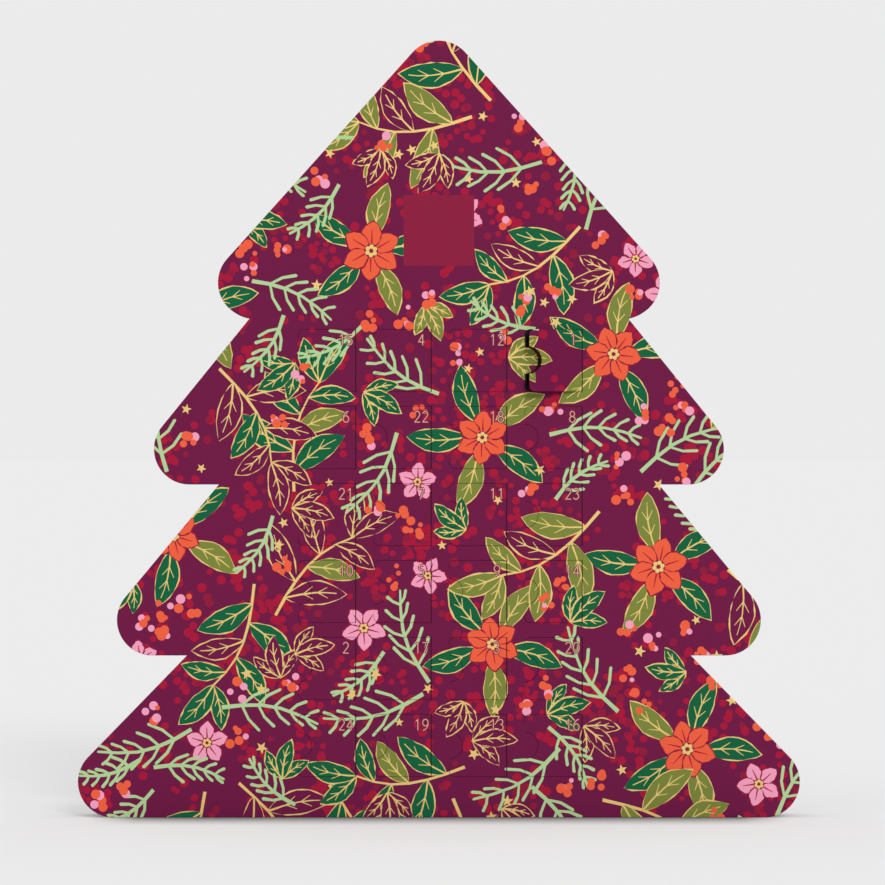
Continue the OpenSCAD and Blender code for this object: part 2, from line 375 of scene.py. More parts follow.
def blade(length, half_width, bend, grow=0.0):
    """A pointed oval along +x, let out by grow on every side."""
    lower, upper = [], []
    for i in range(1, BLADE_STEPS):
        share = i / BLADE_STEPS
        x, z = blade_spine(length + 2 * grow, bend, share)
        half = blade_half(half_width + grow, share)
        lower.append((x - grow, z - half))
        upper.append((x - grow, z + half))
    return [(-grow, 0)] + lower + [(length + grow, 0)] + upper[::-1]


def stroke(points, width, end_width=None, tip=0.0):
    """A line drawn with a pen: its width at the start, and at the end if that differs.

    A tip adds one point beyond the end, which rounds it off.
    """
    end_width = width if end_width is None else end_width
    left, right = [], []
    for i, (x, z) in enumerate(points):
        before, after = points[max(i - 1, 0)], points[min(i + 1, len(points) - 1)]
        dx, dz = after[0] - before[0], after[1] - before[1]
        half = (width + (end_width - width) * i / (len(points) - 1)) / 2 / math.hypot(dx, dz)
        left.append((x - dz * half, z + dx * half))
        right.append((x + dz * half, z - dx * half))
    end = [(x + dx * half * tip, z + dz * half * tip)] if tip else []
    return right + end + left[::-1]


print("a blade has", len(blade(30, 6, 0.1)), "points")

# %% [markdown]
# ## Leaves
#
# The pattern is a plain winter one. Its colours, sizes and density follow the photograph's print, and its
# motifs are common ones. Most of it is laurel: a leaf is a gold blade under a slightly smaller one in its
# own ink, with a rib and four veins on top.

# %% A laurel leaf
GOLD_EDGE = 0.5
RIB_PEN, VEIN_PEN = (0.9, 0.4), (0.55, 0.3)   # a stroke's width at its start and at its end
LEAF_HALF, LEAF_BEND = 0.19, 0.06             # half the width and the bend, as shares of a leaf's length
RIB_SHARES = (0, 0.25, 0.5, 0.7, 0.85)
VEIN_FEET, VEIN_RUN, VEIN_REACH = (0.3, 0.54), 0.16, 0.55


def leaf(at, turn, length, ink):
    """A laurel leaf with a gold edge, a rib and four veins."""
    half = LEAF_HALF * length
    lay("gold", placed(blade(length, half, LEAF_BEND, GOLD_EDGE), at, turn), HAND)
    lay(ink, placed(blade(length, half, LEAF_BEND), at, turn), HAND)
    rib = [blade_spine(length, LEAF_BEND, share) for share in RIB_SHARES]
    lay("gold", placed(stroke(rib, *RIB_PEN), at, turn), FINE_HAND)
    for share in VEIN_FEET:
        for side in (-1, 1):
            foot = blade_spine(length, LEAF_BEND, share)
            tip = blade_spine(length, LEAF_BEND, share + VEIN_RUN)
            reach = VEIN_REACH * blade_half(half, share + VEIN_RUN)
            vein = [foot, (tip[0], tip[1] + side * reach)]
            lay("gold", placed(stroke(vein, *VEIN_PEN), at, turn))


print("a leaf is", 3 + 2 * len(VEIN_FEET), "shapes")

# %% [markdown]
# ## What leaves make
#
# Leaves in pairs along a bowed stem make a twig, leaves round one place make a rosette, and three from one
# foot make a spray. Each takes its sizes from one length, so it can be drawn larger or smaller and keeps
# its form, while the pens keep their widths.

# %% Twigs, rosettes and sprays
STEM_BEND, STEM_SHARE, STEM_STEPS, STEM_PEN = 0.16, 0.7, 6, (1.6, 0.8)
PAIRS_AT, MIXED_PAIR = (1, 3, 5), 3   # steps of the stem with a pair of leaves, one pair in two inks
PAIR_SPREAD = math.radians(55)
FIRST_LEAF, LEAF_SHRINK, END_LEAF = 0.42, 0.025, 0.34
END_LEAF_TURN = -0.15
ROSETTE_EYE = 0.2
SPRAY_LEAVES = ((-0.75, 0.8), (0.75, 0.8), (0, 1))   # each leaf's turn and its share of the length


def twig(at, turn, length, ink, other):
    """A laurel twig: a curved gold stem with pairs of leaves along it and one at its end."""
    stem = [blade_spine(length, STEM_BEND, STEM_SHARE * i / STEM_STEPS) for i in range(STEM_STEPS + 1)]
    lay("gold", placed(stroke(stem, *STEM_PEN), at, turn), FINE_HAND)
    for i in PAIRS_AT:
        heading = math.atan2(stem[i + 1][1] - stem[i][1], stem[i + 1][0] - stem[i][0])
        for side in (-1, 1):
            spot = placed([stem[i + (side > 0)]], at, turn)[0]
            size = length * (FIRST_LEAF - LEAF_SHRINK * i)
            own_ink = ink if i != MIXED_PAIR or side > 0 else other
            leaf(spot, turn + heading + side * PAIR_SPREAD, size, own_ink)
    leaf(placed([stem[-1]], at, turn)[0], turn + END_LEAF_TURN, length * END_LEAF, ink)


def rosette(at, turn, radius, leaves):
    """Leaves that radiate from one place, in two greens."""
    for i in range(leaves):
        angle = turn + 2 * math.pi * i / leaves
        foot = placed([(ROSETTE_EYE * radius, 0)], at, angle)[0]
        leaf(foot, angle, (1 - ROSETTE_EYE) * radius, "olive" if i % 2 else "green")


def spray(at, turn, length, ink):
    """Three small leaves from one foot."""
    for angle, share in SPRAY_LEAVES:
        leaf(at, turn + angle, share * length, ink)


print("a twig has", 2 * len(PAIRS_AT) + 1, "leaves")

# %% [markdown]
# ## Blossoms, fir and stars
#
# A blossom has pointed petals with a dark edge and a vein, round an eye with golden stamens. A fir sprig is
# a curved shoot with needles down both sides, each a short stroke with a rounded tip. A star has five
# points.

# %% Blossoms, fir sprigs and stars
PETAL_FOOT, PETAL_HALF, PETAL_BEND, PETAL_EDGE = 0.1, 0.32, 0.04, 0.6
PETAL_VEIN, PETAL_PEN = ((0.15, 0), (0.62, 0.03)), (0.8, 0.3)
EYE_R, EYE_EDGE = 0.2, 0.5
STAMENS, STAMEN_RING, STAMEN_R, STAMEN_SIDES = 6, 0.14, 0.075, 10
SHOOT_BEND, SHOOT_STEP, SHOOT_POINTS, SHOOT_PEN = 0.1, 0.2, 6, (2.0, 1.2)
NEEDLES, FIRST_NEEDLE, NEEDLE_SPAN = 5, 0.2, 0.66
NEEDLE_REACH, NEEDLE_SHRINK, NEEDLE_BEND, NEEDLE_PEN = 0.36, 0.65, 0.08, (1.2, 1.6)
NEEDLE_ANGLE, NEEDLE_STRAY = 40, 6
ROUND_TIP = 0.9
STAR_WAIST = 0.42


def blossom(at, turn, radius, ink, petals):
    """Pointed petals round a golden eye."""
    length, half = (1 - PETAL_FOOT) * radius, PETAL_HALF * radius
    vein = [(x * radius, z * radius) for x, z in PETAL_VEIN]
    for i in range(petals):
        angle = turn + 2 * math.pi * i / petals
        foot = placed([(PETAL_FOOT * radius, 0)], at, angle)[0]
        lay("berry", placed(blade(length, half, PETAL_BEND, PETAL_EDGE), foot, angle), HAND)
        lay(ink, placed(blade(length, half, PETAL_BEND), foot, angle), HAND)
        lay("crimson", placed(stroke(vein, *PETAL_PEN), foot, angle))
    lay("berry", placed(disc((0, 0), EYE_R * radius + EYE_EDGE), at, 0))
    for i in range(STAMENS):
        stamen = placed([(STAMEN_RING * radius, 0)], at, turn + 2 * math.pi * i / STAMENS)[0]
        lay("gold", disc(stamen, STAMEN_R * radius, STAMEN_SIDES))


def fir_sprig(at, turn, length):
    """A curved shoot with needles down both sides."""
    shoot = [blade_spine(length, SHOOT_BEND, SHOOT_STEP * i) for i in range(SHOOT_POINTS)]
    lay("mint", placed(stroke(shoot, *SHOOT_PEN, ROUND_TIP), at, turn), FINE_HAND)
    for i in range(NEEDLES):
        share = FIRST_NEEDLE + NEEDLE_SPAN * i / (NEEDLES - 1)
        foot = blade_spine(length, SHOOT_BEND, share)
        reach = NEEDLE_REACH * length * (1.0 - NEEDLE_SHRINK * share)
        for side in (-1, 1):
            angle = math.radians(NEEDLE_ANGLE * side + rng.uniform(-NEEDLE_STRAY, NEEDLE_STRAY))
            line = [blade_spine(reach, NEEDLE_BEND * side, 0.5 * step) for step in range(3)]
            needle = stroke(placed(line, foot, angle), *NEEDLE_PEN, ROUND_TIP)
            lay("mint", placed(needle, at, turn), FINE_HAND)


def star(at, turn, radius):
    """A gold star with five points."""
    points = []
    for i in range(10):
        reach = radius if i % 2 == 0 else STAR_WAIST * radius
        points.append((reach * math.cos(math.pi * i / 5), reach * math.sin(math.pi * i / 5)))
    lay("gold", placed(points, at, turn))


print("a fir sprig has", 2 * NEEDLES, "needles")

# %% [markdown]
# ## Free ground for motifs
#
# A textile or paper designer spreads an all-over print so that no place is crowded and no place is bare.
# Here each motif claims a few circles of ground. Seeded dice propose a place and a turn, and a motif goes
# down where its circles are still free.

# %% Find free places
SHEET_X, SHEET_LOW, SHEET_HIGH = 182, -4, 392
taken = []


def anywhere():
    """A place on the sheet."""
    return (rng.uniform(-SHEET_X, SHEET_X), rng.uniform(SHEET_LOW, SHEET_HIGH))


def free_spot(circles, tries=4000):
    """A place and a turn at which a motif's circles of ground are all free, or nothing."""
    for _ in range(tries):
        at = anywhere()
        turn = rng.uniform(0, 2 * math.pi)
        claimed = [(*placed([(x, 0)], at, turn)[0], r) for x, r in circles]
        if all(math.hypot(x - u, z - v) > r + s for x, z, r in claimed for u, v, s in taken):
            taken.extend(claimed)
            return at, turn
    return None


def spread(count, circles, draw):
    """Draw a motif at up to count free places."""
    spots = [free_spot(circles) for _ in range(count)]
    for spot in spots:
        if spot:
            draw(*spot)
    return sum(spot is not None for spot in spots)


print(f"a sheet of {2 * SHEET_X} by {SHEET_HIGH - SHEET_LOW} mm")

# %% [markdown]
# ## Laying out the print
#
# Loose red berries lie under everything. The motifs follow, the largest first and then ever smaller ones in
# the gaps that are left, down to single stars. A number in the table is only an upper limit, because a
# motif that finds no free ground is left out.

# %% Fill the sheet with motifs
BERRY_GROUPS, BERRY_SIDES = 620, 12
NEAREST_BERRY = 0.2                            # as a share of a group's reach
GREENS = ("olive", "olive", "green", "plum")   # a plum leaf is a gold outline on the ground
REDS = ("crimson", "crimson", "crimson", "berry")
BRIGHTS = ("orange", "orange", "orange", "pink")


def scatter(at, inks, count, reach, smallest, largest):
    """A few loose berries round a place."""
    for _ in range(count):
        berry = placed([(rng.uniform(NEAREST_BERRY, 1) * reach, 0)], at, rng.uniform(0, 2 * math.pi))[0]
        lay(rng.choice(inks), disc(berry, rng.uniform(smallest, largest), BERRY_SIDES))


def blossom_on_leaves(at, turn):
    """A large orange blossom on a rosette of five leaves."""
    rosette(at, turn, rng.uniform(34, 38), 5)
    blossom(at, turn + rng.uniform(0, 1), rng.uniform(12.5, 15), "orange", 6)


# at most how many, the circles of ground (a distance along the motif and a radius), and how it is drawn
MOTIFS = [
    (12, [(0, 29)], blossom_on_leaves),
    (26, [(8, 9), (26, 16), (46, 16), (66, 11)],
     lambda at, turn: twig(at, turn, rng.uniform(74, 82), *rng.sample(GREENS, 2))),
    (24, [(8, 6), (24, 9), (40, 6)], lambda at, turn: fir_sprig(at, turn, rng.uniform(44, 52))),
    (11, [(0, 10)], lambda at, turn: blossom(at, turn, rng.uniform(9, 11.5), "pink", 5)),
    (30, [(12, 10)], lambda at, turn: spray(at, turn, rng.uniform(19, 23), rng.choice(GREENS[1:]))),
    (30, [(6, 4), (18, 5), (30, 4)], lambda at, turn: fir_sprig(at, turn, rng.uniform(30, 36))),
    (100, [(0, 4.5)],
     lambda at, turn: scatter(at, BRIGHTS, count=5, reach=5.5, smallest=1.2, largest=2.5)),
    (60, [(0, 3)], lambda at, turn: star(at, turn, rng.uniform(2.3, 3.2))),
]
for _ in range(BERRY_GROUPS):
    scatter(anywhere(), REDS, count=5, reach=9, smallest=1.3, largest=2.4)
counts = [spread(*motif) for motif in MOTIFS]
print(len(paint), "printed shapes; motifs of each kind:", counts)

# %% [markdown]
# ## The square and the digits
#
# High on the front is a plain red square. The doors' numbers are in a light typeface of even thin strokes.
# A text object could give such digits, but a stroke can be laid again with a wider pen, which gives it an
# even margin. So every digit is drawn with a few strokes of one pen.

# %% A plain square and ten digits
LABEL_CENTRE, LABEL_SIZE = (0, 293.5), 35.3
SIX_WIDTH = 0.58   # as a share of the height, like the strokes below


def square(centre, size):
    """The corners of a square."""
    half = size / 2
    return [(centre[0] + x * half, centre[1] + z * half) for x, z in ((-1, -1), (1, -1), (1, 1), (-1, 1))]


lay("label", square(LABEL_CENTRE, LABEL_SIZE))

SIX = [bow((0.56, 0.3), (0.52, 0.7), 95, 180), bow((0.29, 0.3), (0.25, 0.3), 0, 180),
       bow((0.29, 0.3), (0.25, 0.3), 180, 360)]
DIGITS = {
    0: [bow((0.28, 0.5), (0.26, 0.5), 90, 270), bow((0.28, 0.5), (0.26, 0.5), -90, 90)],
    1: [[(0.12, 0.8), (0.34, 1)], [(0.32, 1), (0.32, 0)]],
    2: [bow((0.27, 0.73), (0.23, 0.27), 165, -35), [(0.46, 0.575), (0.04, 0.02)],
        [(0.03, 0.02), (0.53, 0.02)]],
    3: [bow((0.25, 0.76), (0.21, 0.24), 150, -90), bow((0.24, 0.27), (0.26, 0.27), 90, -150)],
    4: [[(0.4, 0), (0.4, 1)], [(0.4, 1), (0.02, 0.3)], [(0.02, 0.3), (0.56, 0.3)]],
    5: [[(0.48, 0.98), (0.12, 0.98)], [(0.13, 0.98), (0.1, 0.54)],
        bow((0.23, 0.32), (0.27, 0.3), 125, -150)],
    6: SIX,
    7: [[(0.03, 0.98), (0.53, 0.98)], [(0.52, 0.98), (0.18, 0)]],
    8: [bow((0.28, 0.76), (0.2, 0.24), 90, 270), bow((0.28, 0.76), (0.2, 0.24), -90, 90),
        bow((0.28, 0.27), (0.25, 0.27), 90, 270), bow((0.28, 0.27), (0.25, 0.27), -90, 90)],
    9: [[(SIX_WIDTH - x, 1 - z) for x, z in line] for line in SIX],
}
print(len(DIGITS), "digits of", sum(len(lines) for lines in DIGITS.values()), "strokes")

# %% [markdown]
# ## Numbers on the doors
#
# Each door has its number in its upper right corner, measured from the crease and from the upper edge. The
# strokes are laid twice: first with a wider pen in plum, whose hair of a margin keeps a number clear where
# it falls on a leaf, and then in the pale ink.

# %% Number the doors
NUMERAL_HEIGHT, NUMERAL_PEN, NUMERAL_MARGIN = 5.5, 0.5, 0.4
NUMERAL_WIDTH, NUMERAL_GAP = 0.56, 0.16   # as shares of the height
NUMERAL_FROM_CREASE, NUMERAL_FROM_TOP = 4.9, 2.4


def number(value, centre, top):
    """Print a number about a centre line, with its upper edge at a height."""
    digits = [int(d) for d in str(value)]
    left = centre - NUMERAL_HEIGHT * (len(digits) * NUMERAL_WIDTH + (len(digits) - 1) * NUMERAL_GAP) / 2
    for ink, pen in (("plum", NUMERAL_PEN + 2 * NUMERAL_MARGIN), ("numeral", NUMERAL_PEN)):
        for i, digit in enumerate(digits):
            start = left + i * NUMERAL_HEIGHT * (NUMERAL_WIDTH + NUMERAL_GAP)
            for line in DIGITS[digit]:
                points = [(start + x * NUMERAL_HEIGHT, top + (z - 1) * NUMERAL_HEIGHT) for x, z in line]
                lay(ink, stroke(points, pen))


closed_low, closed_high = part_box("door_02")
DOOR_H = (closed_high.z - closed_low.z) / MM
DOOR_W = (HINGES[2].x - closed_low.x) / MM
for value, hinge in HINGES.items():
    number(value, hinge.x / MM - NUMERAL_FROM_CREASE, hinge.z / MM + DOOR_H / 2 - NUMERAL_FROM_TOP)
print(f"doors are {DOOR_W:.1f} by {DOOR_H:.1f} mm, {len(paint)} printed shapes with their numbers")

# %% [markdown]
# ## The tree's outline
#
# A steel die gives the card the tree's outline, where the print turns over in a small fold. The packed
# front panel already has that outline, so it is read from there: the sides of the front face that only one
# polygon uses, joined end to end. The flat part of the front ends inside it, by the radius of the fold.

# %% Read the tree's outline
FOLD_R = 0.35
FACING_FRONT = -0.99   # the y of a normal that points to the front


def loops_of(sides):
    """Directed sides joined end to end into closed loops."""
    onward = {a: b for a, b in sides}
    loops = []
    while onward:
        start, point = onward.popitem()
        loop = [start]
        while point != start:
            loop.append(point)
            point = onward.pop(point)
        loops.append(loop)
    return loops


def outer_loop(node):
    """The longest loop round a node's front face, in millimetres."""
    mesh = frame["nodes"][node].data
    flat = [face for face in mesh.polygons if face.normal.y < FACING_FRONT]
    key = {v.index: (round(v.co.x / MM, 4), round(v.co.z / MM, 4)) for v in mesh.vertices}
    sides = {}
    for face in flat:
        ring = [key[i] for i in face.vertices]
        for a, b in zip(ring, ring[1:] + ring[:1]):
            sides[a, b] = True
    return max(loops_of([side for side in sides if side[::-1] not in sides]), key=len)


def set_in(points, distance):
    """A closed outline, drawn anticlockwise, moved inwards by a distance."""
    moved = []
    for i, (x, z) in enumerate(points):
        back = Vector((x, z)) - Vector(points[i - 1])
        on = Vector(points[(i + 1) % len(points)]) - Vector((x, z))
        inward = [Vector((-d.y, d.x)).normalized() for d in (back, on)]
        middle = (inward[0] + inward[1]).normalized()
        moved.append(tuple(Vector((x, z)) + middle * distance / middle.dot(inward[0])))
    return moved


def signed_area(points):
    """The area inside a closed outline, positive if it is drawn anticlockwise."""
    return sum(a[0] * b[1] - b[0] * a[1] for a, b in zip(points, points[1:] + points[:1])) / 2


tree_outline = outer_loop("front_panel")
if signed_area(tree_outline) < 0:
    tree_outline.reverse()
flat_outline = set_in(tree_outline, FOLD_R)
print(len(tree_outline), "points round the tree")

# %% [markdown]
# ## The doors' outlines
#
# Round each door the die cuts three sides with rounded corners and a half-moon tongue for a thumb, and it
# scores the fourth. The outline is worked out from the door's size, once for the opening in the panel and
# once, a hair smaller, for the door.

# %% Outlines of the openings and the doors
KERF = 0.2
THUMB_R, THUMB_STEPS = 6.75, 16
DOOR_CORNER_R, DOOR_CORNER_STEPS = 2.75, 5
CREASE_GAP, CREASE_SCORE = 0.25, 0.1


def door_outline(value, play, crease_play):
    """A door's outline on the front plane, let out by play, and by crease_play past its crease."""
    foot = (HINGES[value].x / MM, HINGES[value].z / MM - DOOR_H / 2)
    left, r, thumb = -DOOR_W - play, DOOR_CORNER_R + play, THUMB_R - play
    half_moon = math.degrees(math.acos(play / thumb))
    points = [(crease_play, -play), (crease_play, DOOR_H + play)]
    points += bow((left + r, DOOR_H + play - r), (r, r), 90, 180, DOOR_CORNER_STEPS)
    points += bow((-DOOR_W, DOOR_H / 2), (thumb, thumb), half_moon, -half_moon, THUMB_STEPS)
    points += bow((left + r, r - play), (r, r), 180, 270, DOOR_CORNER_STEPS)
    return placed(points, foot, 0)


openings = {value: door_outline(value, KERF, CREASE_GAP) for value in HINGES}
door_cuts = {value: door_outline(value, 0.0, -CREASE_SCORE) for value in HINGES}
print(len(openings), "openings,", len(door_cuts[1]), "points round a door")

# %% [markdown]
# ## Printing and cutting at once
#
# A print is often a picture laid over the card, but a picture blurs when the camera comes close. Here all
# outlines and printed shapes lie in one plane, and one constrained triangulation cuts them against each
# other. Every small triangle then knows which outlines and which shapes cover it: the outlines say whether
# it belongs to the panel or to a door, and the shape that was laid last says its ink.

# %% Cut the sheet into inked triangles
JOIN_TOLERANCE = 2e-3
WHOLE_HULL = 0   # the triangulation's choice of output: every triangle, also outside the outlines


def cut_sheet(outlines, shapes):
    """Points and triangles of the plane, each triangle with the outlines and the last shape over it."""
    corners, rings = [], []
    for ring in outlines + [points for ink, points in shapes]:
        ring = ring if signed_area(ring) > 0 else ring[::-1]
        rings.append(list(range(len(corners), len(corners) + len(ring))))
        corners += [Vector(p) for p in ring]
    points, _, triangles, _, _, covers = delaunay_2d_cdt(corners, [], rings, WHOLE_HULL, JOIN_TOLERANCE)
    cut = []
    for triangle, over in zip(triangles, covers):
        top = max(over, default=-1)
        ink = shapes[top - len(outlines)][0] if top >= len(outlines) else "plum"
        cut.append((tuple(triangle), {i for i in over if i < len(outlines)}, ink))
    return [(p.x, p.y) for p in points], cut


values = sorted(HINGES)
outlines = [flat_outline]
outlines += [openings[value] for value in values] + [door_cuts[value] for value in values]
sheet_points, sheet = cut_sheet(outlines, paint)
regions = {"panel": []} | {value: [] for value in values}
for triangle, over, ink in sheet:
    doors_over = [i - 1 - len(values) for i in over if i > len(values)]
    if doors_over:
        regions[values[doors_over[0]]].append((triangle, ink))
    elif over == {0}:
        regions["panel"].append((triangle, ink))
on_doors = sum(len(regions[value]) for value in values)
print(f"{len(regions['panel'])} triangles on the panel, {on_doors} on the doors")

# %% [markdown]
# ## The edges of a plate
#
# A plate of card is its inked face, its edges and its lined back. The edges start from the sides that only
# one triangle uses. Round the outside of the box the printed board is folded, so there the edge turns over
# in a small quarter circle and keeps its ink. At the doors it is die-cut, square, and shows the dark board,
# whose colour is partly painted shade: the shade that falls in the narrow cut.

# %% Fold or cut an edge
FOLD_STEPS = 3


def open_sides(faces):
    """The directed sides that only one triangle uses, each with that triangle's ink."""
    sides = {}
    for triangle, ink in faces:
        for a, b in zip(triangle, triangle[1:] + triangle[:1]):
            sides[a, b] = ink
    return {side: ink for side, ink in sides.items() if side[::-1] not in sides}


def fold_reach(point):
    """From a point on the flat part's outline to the same share of that side on the tree's outline."""
    tries = []
    for i, start in enumerate(flat_outline):
        end = flat_outline[(i + 1) % len(flat_outline)]
        share = min(max(intersect_point_line(point, start, end)[1], 0.0), 1.0)
        tries.append(((Vector(start).lerp(Vector(end), share) - Vector(point)).length, i, share))
    _, i, share = min(tries)
    start, end = tree_outline[i], tree_outline[(i + 1) % len(tree_outline)]
    return Vector(start).lerp(Vector(end), share) - Vector(point)


def edge_rows(plate, points, sides, folded, front, spot):
    """The vertices over the edge at each point of an open side, and that point's place at the back."""
    reach = {i: fold_reach(points[i]) for i in {i for side in sides if side in folded for i in side}}
    rows, back = {}, {}
    for i in sorted({i for side in sides for i in side}):
        x, z = points[i]
        out = reach.get(i, Vector((0, 0)))
        rows[i] = [front[i]]
        for step in range(1, FOLD_STEPS + 1) if i in reach else ():
            turn = math.pi / 2 * step / FOLD_STEPS
            aside, depth = out * math.sin(turn), FOLD_R * (1 - math.cos(turn))
            rows[i].append(plate.verts.new(spot(x + aside.x, z + aside.y, depth)))
        back[i] = (x + out.x, z + out.y)
        rows[i].append(plate.verts.new(spot(*back[i], CARD_T / MM)))
    return rows, back


print("a folded edge turns over in", FOLD_STEPS, "steps")

# %% [markdown]
# ## A whole plate
#
# A solidify modifier would thicken a sheet more quickly, but it copies the print's many triangles to the
# back and can't turn an edge over. So the back is triangulated anew, with few triangles, and it shares its
# vertices with the edges: the plate is one closed body, as a real piece of card is.

# %% Build a plate of card
def back_triangles(back, sides):
    """Triangles over a plate's back: inside its outer loop, and outside the loops of its openings."""
    order = sorted(back)
    place = {i: k for k, i in enumerate(order)}
    loops = sorted(loops_of(sides), key=lambda loop: -abs(signed_area([back[i] for i in loop])))
    rings = [[place[i] for i in (loop if k == 0 else loop[::-1])] for k, loop in enumerate(loops)]
    corners = [Vector(back[i]) for i in order]
    _, _, triangles, origin, _, covers = delaunay_2d_cdt(corners, [], rings, WHOLE_HULL, JOIN_TOLERANCE)
    inside = [triangle for triangle, over in zip(triangles, covers) if list(over) == [0]]
    return [[order[origin[k][0]] for k in triangle] for triangle in inside]


def card_plate(name, points, faces, folded, spot):
    """A mesh object of card from inked triangles. Sides in folded turn over, the others are cut."""
    inks = sorted({ink for _, ink in faces} | {"plum", "board", "liner"})
    plate = bmesh.new()
    front = {i: plate.verts.new(spot(*points[i], 0)) for i in sorted({i for t, _ in faces for i in t})}
    for triangle, ink in faces:
        plate.faces.new([front[i] for i in triangle]).material_index = inks.index(ink)
    sides = open_sides(faces)
    rows, back = edge_rows(plate, points, sides, folded, front, spot)
    for (a, b), ink in sides.items():
        # Cut edges take the dark board, which is partly painted shade in the cut.
        edge_ink = ink if (a, b) in folded else "board"
        for k in range(len(rows[a]) - 1):
            quad = [rows[b][k], rows[a][k], rows[a][k + 1], rows[b][k + 1]]
            plate.faces.new(quad).material_index = inks.index(edge_ink)
    for triangle in back_triangles(back, sides):
        plate.faces.new([rows[i][-1] for i in triangle[::-1]]).material_index = inks.index("liner")
    bmesh.ops.recalc_face_normals(plate, faces=plate.faces)
    mesh = bpy.data.meshes.new(name)
    plate.to_mesh(mesh)
    plate.free()
    for ink in inks:
        mesh.materials.append(INKS[ink])
    piece = bpy.data.objects.new(name, mesh)
    bpy.context.scene.collection.objects.link(piece)
    return piece


print(f"plates of card are {CARD_T / MM:.2f} mm thick")

# %% [markdown]
# ## The front
#
# The front panel is everything on the sheet that no door's opening takes. Its outline is folded, and the
# sides round the openings are cut, so the two are told apart by whether a point lies at a door.

# %% Build the front panel
OPENING_MARGIN = 1


def on_front(x, z, depth):
    """A place on the flat sheet, at a depth into the front panel."""
    return (x * MM, FRONT_Y + depth * MM, z * MM)


def at_a_door(point):
    """Whether a point of the sheet lies on or inside a door's opening."""
    x, z = sheet_points[point]
    return any(abs(x - HINGES[v].x / MM + DOOR_W / 2) < DOOR_W / 2 + OPENING_MARGIN
               and abs(z - HINGES[v].z / MM) < DOOR_H / 2 + OPENING_MARGIN for v in values)


outer_sides = {side for side in open_sides(regions["panel"]) if not at_a_door(side[0])}
front_card = card_plate("printed_front", sheet_points, regions["panel"], outer_sides, on_front)
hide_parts("front_panel")
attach(front_card, "box")
print(f"printed front: {len(front_card.data.polygons)} faces, {len(outer_sides)} folded sides")

# %% [markdown]
# ## The doors
#
# Each door is its own plate, cut from the same sheet, so the print runs on across it. A door that stands
# ajar at rest has a joint whose range starts below zero, so that start says how far every point of the
# plate is turned about its crease. The crease is scored, so a thin round bead of the dark board closes the
# fold; its dark colour is painted shade that draws the crease as a thin dark line.

# %% Cut the doors free
BEAD_R = 0.2
BEAD_SIDES = 10


def door_spot(value):
    """A function that turns a place on the flat sheet into a place on a door, as it stands."""
    hinge = HINGES[value]
    c, s = math.cos(AJAR[value]), math.sin(AJAR[value])

    def spot(x, z, depth):
        dx, dy = x * MM - hinge.x, depth * MM
        return (hinge.x + dx * c - dy * s, hinge.y + dx * s + dy * c, z * MM)

    return spot


def add_bead(door, value):
    """Close the fold with a thin round bead of dark board along the crease: painted shade of the score."""
    hinge = HINGES[value]
    bead = bmesh.new()
    bead.from_mesh(door.data)
    board = list(door.data.materials).index(INKS["board"])
    made = bmesh.ops.create_cone(bead, cap_ends=True, segments=BEAD_SIDES, radius1=BEAD_R * MM,
                                 radius2=BEAD_R * MM, depth=DOOR_H * MM, matrix=Matrix.Translation(hinge))
    # The bead's dark board is painted shade along the crease.
    for face in {face for vert in made["verts"] for face in vert.link_faces}:
        face.material_index = board
    bead.to_mesh(door.data)
    bead.free()


for value in values:
    card_door = card_plate(f"printed_door_{value:02d}", sheet_points, regions[value], set(),
                           door_spot(value))
    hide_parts(f"door_{value:02d}")
    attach(card_door, f"door_{value:02d}")
    add_bead(card_door, value)
    if AJAR[value]:
        print(f"door {value} stands open by {math.degrees(AJAR[value]):.0f} degrees")
print(len(values), "doors")

# %% [markdown]
# ## The back
#
# Nobody looks at the back for long, so it has the plum ground with only a sparse repeat of stars and
# berries from the front. It is one plate without doors, cut in the same way and folded at its outline.

# %% Print the back
BACK_STEP_X, BACK_STEP_Z, BACK_FIRST_Z = 34, 30, 12
BACK_ROWS, BACK_COLUMNS = range(-1, 14), range(-6, 7)
BACK_STAR_R = 3.0
BACK_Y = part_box("back_panel")[1].y


def on_back(x, z, depth):
    """A place on the flat sheet, at a depth into the back panel."""
    return (x * MM, BACK_Y - depth * MM, z * MM)


paint.clear()
for row in BACK_ROWS:
    for column in BACK_COLUMNS:
        spot = ((column + 0.5 * (row % 2)) * BACK_STEP_X, row * BACK_STEP_Z + BACK_FIRST_Z)
        if (row + column) % 2:
            star(spot, rng.uniform(0, 1), BACK_STAR_R)
        else:
            scatter(spot, ("crimson", "berry"), count=3, reach=5, smallest=1.6, largest=2.6)
back_points, back_sheet = cut_sheet([flat_outline], paint)
back_faces = [(triangle, ink) for triangle, over, ink in back_sheet if over]
back_card = card_plate("printed_back", back_points, back_faces, set(open_sides(back_faces)), on_back)
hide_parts("back_panel")
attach(back_card, "box")
print(f"printed back: {len(back_card.data.polygons)} faces")

# %% [markdown]
# ## The walls
#
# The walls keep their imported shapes. They are the same board in plum, with a few loose berries. A solid
# pattern of small balls gives each berry its place: the wall cuts a ball near its middle or near its end,
# so the discs differ in size. The ink scuffs first where the board is folded: along the front and back
# edges the colour is rubbed a little paler, in patches.

# %% Plum board for the walls
BALL_STEP, BALL_R, BALL_EDGE = 8.5 * MM, 2.1 * MM, 1.04
SCUFF_SIZE = 3 * MM
SCUFF_REACH = 0.9 * MM
SCUFF_START, SCUFF_FULL, MOST_RUBBED = 0.45, 0.7, 0.7
WALL_EDGE = BACK_Y - CARD_T


